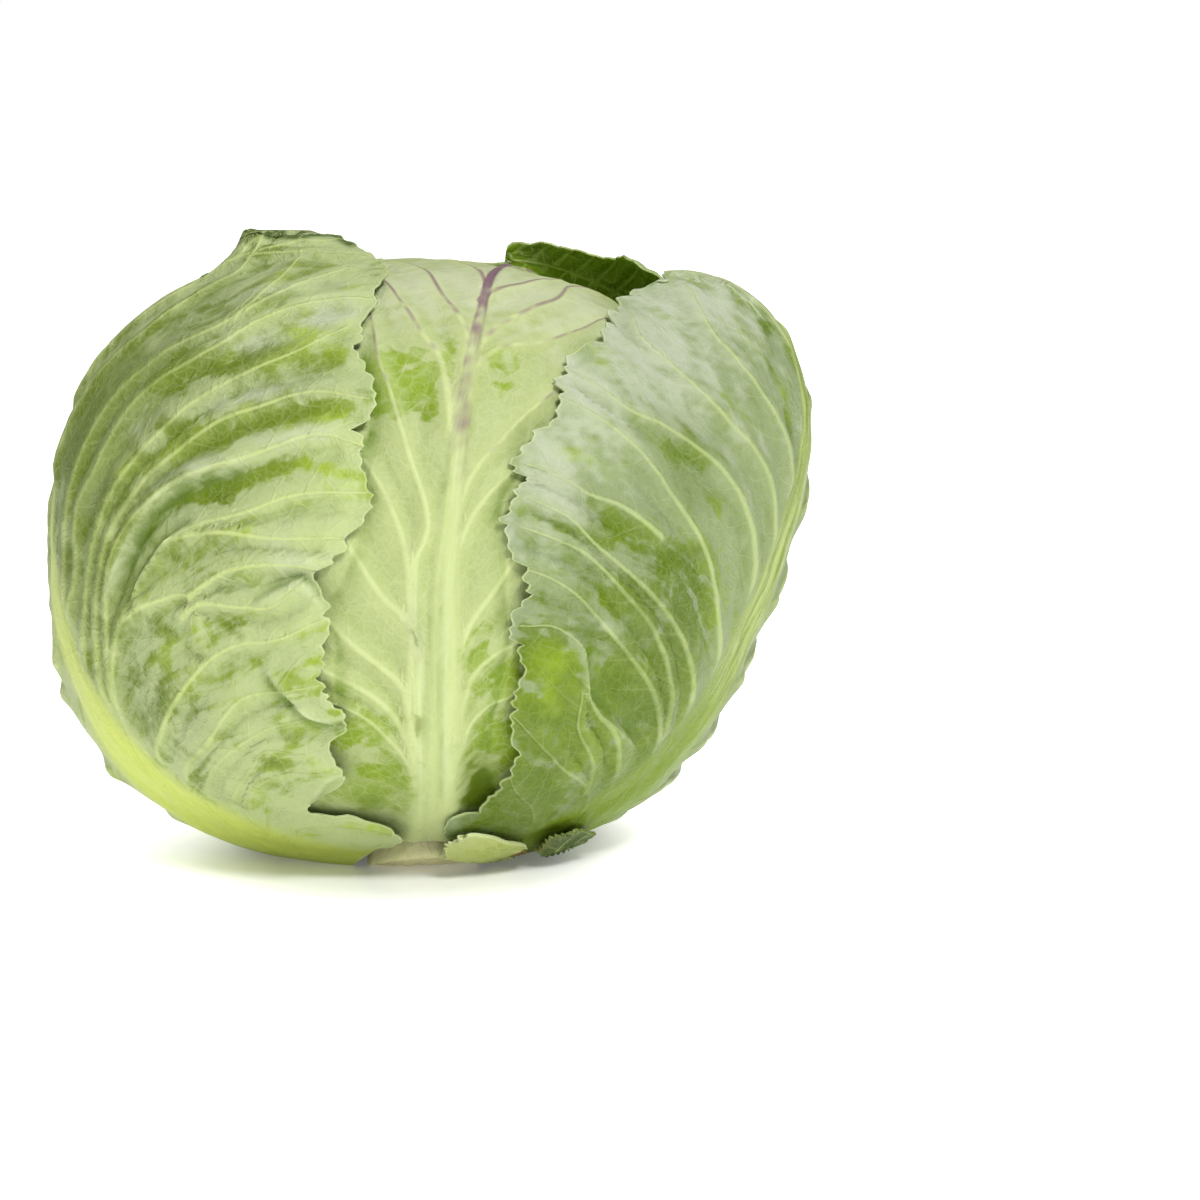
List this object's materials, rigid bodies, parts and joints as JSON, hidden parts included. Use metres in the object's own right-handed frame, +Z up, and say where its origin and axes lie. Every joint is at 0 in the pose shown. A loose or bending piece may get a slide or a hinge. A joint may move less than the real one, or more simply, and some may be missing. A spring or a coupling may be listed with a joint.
{
  "type": "cabbage head",
  "caption": "White cabbage head: a dense leaf head, wrapped by ribbed leaves and loose outer leaves with ragged margins, on its cut stem, resting on a small flat spot.",
  "frame": {"origin": "centre of the bounding box's base, on the surface that the head rests on", "axes": "+X across the front, towards the loose right leaf; +Z up; the front, with the stem's cut end low down, faces -Y"},
  "size_m": [0.2183, 0.1976, 0.1711],
  "materials": {
    "outer_leaf": "waxy green leaf with a grey-blue bloom and pale raised veins",
    "wrapped_leaf": "smooth pale green leaf with cream ribs",
    "torn_leaf": "dark, ragged, slightly dry leaf",
    "stem": "cream cut stem, slightly fibrous and browned at the cut"
  },
  "bodies": {
    "root": {"heart": "wrapped_leaf", "stem": "stem", "leaf_rear": "wrapped_leaf", "leaf_front": "wrapped_leaf", "leaf_left": "outer_leaf", "leaf_right": "outer_leaf", "leaf_back": "outer_leaf", "leaf_stub": "stem", "leaf_scrap": "torn_leaf"}
  },
  "joints": []
}
